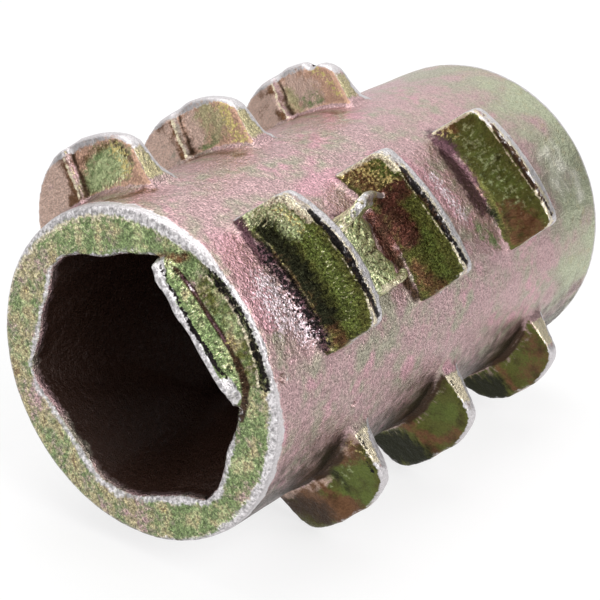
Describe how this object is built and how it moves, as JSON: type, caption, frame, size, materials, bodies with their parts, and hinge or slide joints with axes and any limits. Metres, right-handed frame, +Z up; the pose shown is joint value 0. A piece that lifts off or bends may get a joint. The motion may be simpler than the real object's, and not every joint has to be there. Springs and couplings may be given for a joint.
{
  "type": "threaded insert",
  "caption": "Hexagon-drive threaded insert for wood, die cast in zinc alloy, with rows of knife fins round a plain barrel",
  "frame": {"origin": "On the floor under the middle of the insert, which lies on one row of back fins and one row of right fins", "axes": "+X runs along the barrel from the drive end to the far end, +Z is up"},
  "size_m": [0.016, 0.0104, 0.01],
  "materials": {
    "zinc_body": "iridescent yellow passivate on cast zinc alloy"
  },
  "bodies": {
    "root": {"insert_body": "zinc_body"}
  },
  "joints": []
}
